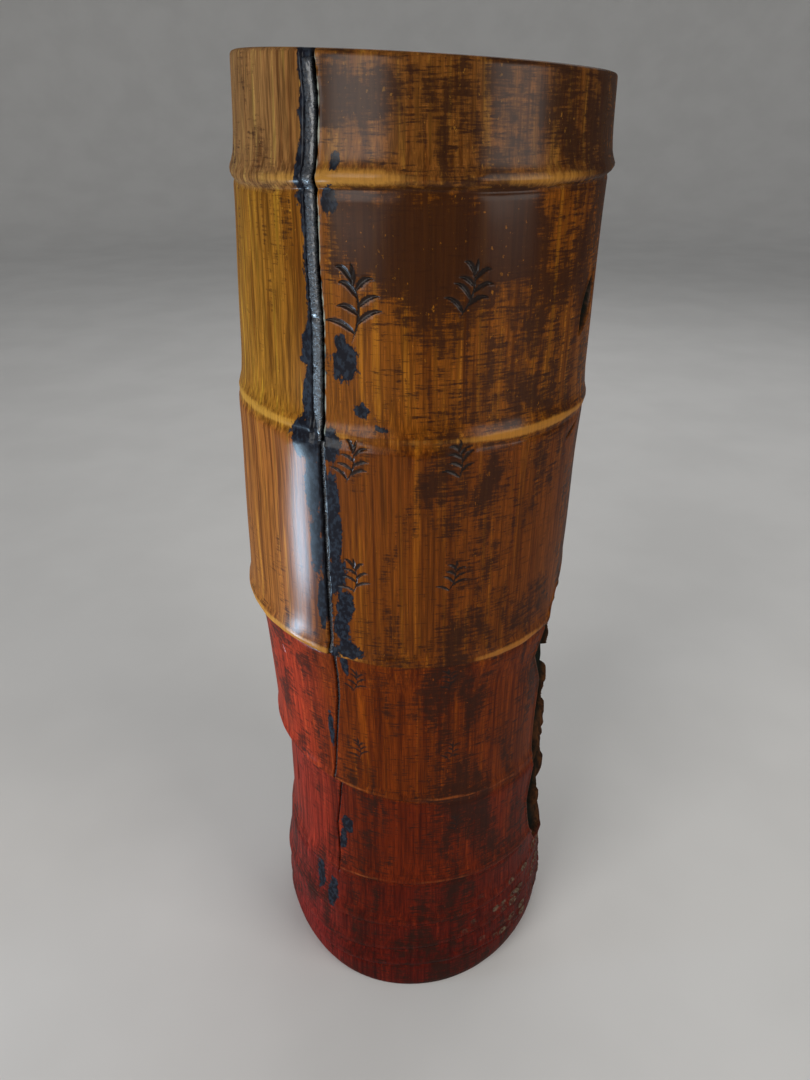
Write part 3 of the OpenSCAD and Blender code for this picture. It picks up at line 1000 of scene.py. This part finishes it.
def bamboo_crack(s, n, colour, high):
    """Spilt black lacquer with a painted bluish sheen, the dark of the cuts with painted shade in the
    crack's gap, and the crack's pale edge with a painted highlight; and where it is black.
    """
    film = s.math("SUBTRACT", s.blend((s.field("lacquer"), 1.0), (n.small, 0.75), (n.spot, 0.35)), 0.55)
    black = s.ramp(film, 0.46, 0.53)
    # Black lacquer, its lighter bluish grains a painted sheen.
    black_with_painted_blue_sheen = s.mix(s.ramp(n.spot, 0.45, 0.62), (0.005, 0.005, 0.008), (0.014, 0.018, 0.026))
    colour = s.mix(black, colour, black_with_painted_blue_sheen)
    colour = s.mix(s.ramp(s.field("cut"), 0.15, 0.65, 0.0, 0.95), colour, (0.010, 0.007, 0.006))
    # The pale colour of the crack's raised edge and of the relief's lip is partly a painted highlight.
    pale = s.mix(high, (0.20, 0.09, 0.04), (0.24, 0.25, 0.20))
    edge = s.ramp(s.blend((s.field("edge"), 1.0), (n.small, 0.35)), 0.48, 0.95, 0.0, 0.8)
    return s.mix(edge, colour, pale), black


def bamboo_carving(s, n, colour, relief, inside):
    """The relief with painted shade in its hollows, the root scars and the raw inside; and where the scars
    are.
    """
    bark = s.mix(s.ramp(n.small, 0.35, 0.65), (0.016, 0.010, 0.008), (0.075, 0.030, 0.012))
    # Near-black where the hollow mask is high: painted shade in the relief's ground and the leaf hollow.
    bark_with_painted_shade = s.mix(s.field("hollow"), bark, (0.010, 0.011, 0.009))
    colour = s.mix(relief, colour, bark_with_painted_shade)
    grey = s.mix(s.ramp(n.spot, 0.40, 0.62), (0.040, 0.014, 0.009), (0.115, 0.095, 0.060))
    scars = s.ramp(s.blend((s.field("scars"), 1.0), (n.small, 0.5)), 0.62, 0.95, 0.0, 0.75)
    colour = s.mix(scars, colour, grey)
    raw = s.mix(s.ramp(n.fibre, 0.35, 0.65), (0.055, 0.026, 0.012), (0.17, 0.088, 0.036))
    raw = s.mix(s.ramp(n.patch, 0.45, 0.62, 0, 0.7), raw, (0.030, 0.016, 0.009))
    return s.mix(inside, colour, raw), scars


def bamboo():
    """Stained and lacquered bamboo, worn by hands, with spilt black lacquer beside the crack."""
    s = Shader("lacquered_bamboo")
    n = bamboo_noises(s)
    stain_and_painted_red_light = s.field("stain_and_painted_red_light", "Color")
    relief, inside = s.field("relief"), s.field("inside")
    high = s.ramp(s.field("height"), 0.17, 0.20)
    colour, gold = bamboo_ground(s, n, stain_and_painted_red_light)
    colour = bamboo_wear(s, n, stain_and_painted_red_light, colour, gold, high)
    colour, black = bamboo_crack(s, n, colour, high)
    colour, scars = bamboo_carving(s, n, colour, relief, inside)
    rough = s.ramp(n.small, 0.3, 0.7, 0.26, 0.44)
    rough = s.blend((rough, 1.0), (relief, 0.16), (inside, 0.22), (scars, 0.22))
    surface = s.bump(s.blend((n.fibre, 0.6), (n.weft, 0.25), (n.fine, 0.2)), 0.00022)
    surface = s.bump(s.blend((black, 1.0), (n.small, 0.4)), 0.00016, surface)
    gloss = 0.22
    coat = s.math("SUBTRACT", gloss, s.times(s.math("ADD", inside, relief), gloss), True)
    return s.finish(Base_Color=colour, Roughness=rough, Normal=surface, Coat_Weight=coat,
                    Coat_Roughness=0.24, Specular_IOR_Level=0.0)


def black_lacquer():
    """Thick black lacquer, pitted, its lighter bluish grains a painted sheen."""
    s = Shader("black_lacquer")
    grit = s.grain((1500, 1500, 1300), 4, 0.6)
    streak = s.grain((300, 300, 900), 3, 0.5)
    # Black, with lighter bluish grains as a painted sheen.
    colour = s.mix(s.ramp(grit, 0.42, 0.66), (0.004, 0.005, 0.008), (0.018, 0.024, 0.034))
    surface = s.bump(s.math("ADD", grit, s.times(streak, 0.5)), 0.0003)
    rough = s.ramp(streak, 0.3, 0.7, 0.22, 0.42)
    return s.finish(Base_Color=colour, Roughness=rough, Normal=surface, Coat_Weight=0.5, Coat_Roughness=0.15)


def hardwood():
    """Dark turned hardwood with straight grain across the disc."""
    s = Shader("hardwood")
    grain = s.grain((500, 24, 500), 5, 0.6, 0.3)
    pore = s.grain((1900, 70, 1900), 3, 0.6)
    colour = s.mix(s.ramp(grain, 0.35, 0.65), (0.035, 0.012, 0.007), (0.115, 0.045, 0.022))
    colour = s.mix(s.ramp(pore, 0.58, 0.68, 0.0, 0.8), colour, (0.012, 0.005, 0.004))
    surface = s.bump(s.math("ADD", grain, pore), 0.00015)
    return s.finish(Base_Color=colour, Roughness=s.ramp(pore, 0.3, 0.7, 0.38, 0.55), Normal=surface)


def putty():
    """Dull lacquer putty with brush marks."""
    s = Shader("putty")
    grit = s.grain((900, 900, 900), 5, 0.65)
    colour = s.mix(s.ramp(grit, 0.35, 0.68), (0.030, 0.018, 0.012), (0.105, 0.062, 0.036))
    rough = s.ramp(grit, 0.3, 0.7, 0.55, 0.8)
    return s.finish(Base_Color=colour, Roughness=rough, Normal=s.bump(grit, 0.0003))


def peg_bamboo():
    """End grain of stained bamboo: dark vessel dots on brown."""
    s = Shader("peg_bamboo")
    dots = s.grain((2600, 2600, 2600), 2, 0.5)
    tone = s.grain((700, 700, 700), 3, 0.5)
    colour = s.mix(s.ramp(tone, 0.3, 0.7), (0.050, 0.018, 0.009), (0.090, 0.034, 0.014))
    colour = s.mix(s.ramp(dots, 0.56, 0.62), colour, (0.012, 0.006, 0.004))
    rough = s.ramp(tone, 0.3, 0.7, 0.35, 0.5)
    return s.finish(Base_Color=colour, Roughness=rough, Normal=s.bump(dots, 0.0001))


def studio_paper():
    """Matt pale floor."""
    s = Shader("studio_paper")
    mottling = s.grain((9, 9, 9), 3, 0.5)
    colour = s.mix(s.ramp(mottling, 0.3, 0.7), (0.66, 0.655, 0.645), (0.70, 0.695, 0.685))
    return s.finish(Base_Color=colour, Roughness=0.85)


# ---------------- assembly
def add_piece(mesh, material, node):
    """Shows one piece in place of its CAD node, and gives it a material slot."""
    piece = show(mesh, material)
    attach(piece, "root")
    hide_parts(node)


def add_pieces():
    skin, survey = build_skin()
    skin["height"] = skin["z"] * MM
    add_piece(skin_mesh("culm_skin", skin), bamboo(), "culm")

    lacquer = black_lacquer()
    low, joint = CRACK_LOW + 6, FILL_LOW - 1
    upper = lacquer_strip("crack_lacquer_upper", survey, joint, HEIGHT, -3.5, 0.15, 0.25, 1.4, 51)
    lower = lacquer_strip("crack_lacquer_lower", survey, low, joint, -0.35, 1.3, 1.25, 1.6, 52)
    add_piece(upper, lacquer, "crack_fill_upper")
    add_piece(lower, lacquer, "crack_fill_lower")

    disc = lathe_mesh("turned_floor", disc_outline(), False)
    add_piece(disc, hardwood(), "floor_disc")
    bead = lathe_mesh("putty_bead", bead_outline(), True)
    roughen(bead, 0.12, 61)
    add_piece(bead, putty(), "floor_seal")

    peg_wood = peg_bamboo()
    for side in ("left", "right", "back"):
        node = f"floor_peg_{side}"
        add_piece(peg_mesh(f"peg_{side}", node, survey), peg_wood, node)


def area_light(name, position, target, size, watts, colour, spread=math.pi):
    data = bpy.data.lights.new(name, "AREA")
    data.spread = spread
    data.shape = "RECTANGLE"
    data.size, data.size_y = size
    data.energy = watts
    data.color = colour
    lamp = bpy.data.objects.new(name, data)
    lamp.visible_camera = False
    lamp.location = position
    lamp.rotation_euler = (Vector(target) - Vector(position)).to_track_quat("-Z", "Y").to_euler()
    bpy.context.scene.collection.objects.link(lamp)


def add_stage():
    """Pale floor that rises at its far edge, soft lights and a plain world."""
    flat, bend, top = 2.4, 1.0, 1.6
    turns = np.linspace(0, math.pi / 2, 17)
    profile = [(flat + bend * math.sin(a), bend - bend * math.cos(a)) for a in turns]
    profile.append((flat + bend, top))
    around = np.linspace(0, 2 * math.pi, 97)[:-1]
    points = [(r * math.cos(a), r * math.sin(a), z) for r, z in profile for a in around]
    count = len(around)
    faces = [tuple(range(count))]
    for n in range(len(profile) - 1):
        for k in range(count):
            a, b = n * count + k, n * count + (k + 1) % count
            faces.append((a, a + count, b + count, b))
    mesh = bpy.data.meshes.new("studio_floor")
    mesh.from_pydata(points, [], faces)
    show(mesh, studio_paper())
    area_light("key", (-0.80, -1.10, 0.55), (0, 0, 0.20), (0.8, 0.6), 12, (1.0, 0.98, 0.95))
    area_light("fill", (1.10, -0.80, 0.50), (0, 0, 0.20), (0.8, 0.6), 9, (1.0, 0.96, 0.90))
    area_light("back", (0.3, 1.0, 1.1), (0, 0, 0.25), (1.2, 0.6), 4, (1.0, 1.0, 1.0))
    area_light("window", (-0.42, -0.135, 0.055), (0, -0.05, 0.235), (0.07, 0.13), 0.42, (0.55, 0.78, 1.0),
               math.radians(75))
    world = bpy.data.worlds.new("studio")
    world.use_nodes = True
    background = world.node_tree.nodes["Background"]
    background.inputs["Color"].default_value = (0.86, 0.87, 0.88, 1)
    background.inputs["Strength"].default_value = 0.30
    bpy.context.scene.world = world
    bpy.context.scene.view_settings.view_transform = "Standard"


def add_camera():
    """A phone held a hand's width above the pot, tipped down along it."""
    pitch, roll, yaw = math.radians(28.10), math.radians(-0.43), math.radians(-0.72)
    forward = Vector((math.sin(yaw) * math.cos(pitch), math.cos(yaw) * math.cos(pitch), -math.sin(pitch)))
    level = forward.cross(Vector((0, 0, 1))).normalized()
    upright = level.cross(forward)
    right = level * math.cos(roll) + upright * math.sin(roll)
    up = upright * math.cos(roll) - level * math.sin(roll)
    data = bpy.data.cameras.new("camera")
    data.sensor_width = 36
    data.lens = 27.03
    camera = bpy.data.objects.new("camera", data)
    turn = Matrix((right, up, -forward)).transposed().to_4x4()
    camera.matrix_world = Matrix.Translation((0.0005, -0.3055, 0.3695)) @ turn
    bpy.context.scene.collection.objects.link(camera)
    bpy.context.scene.camera = camera


add_camera()
add_pieces()
add_stage()
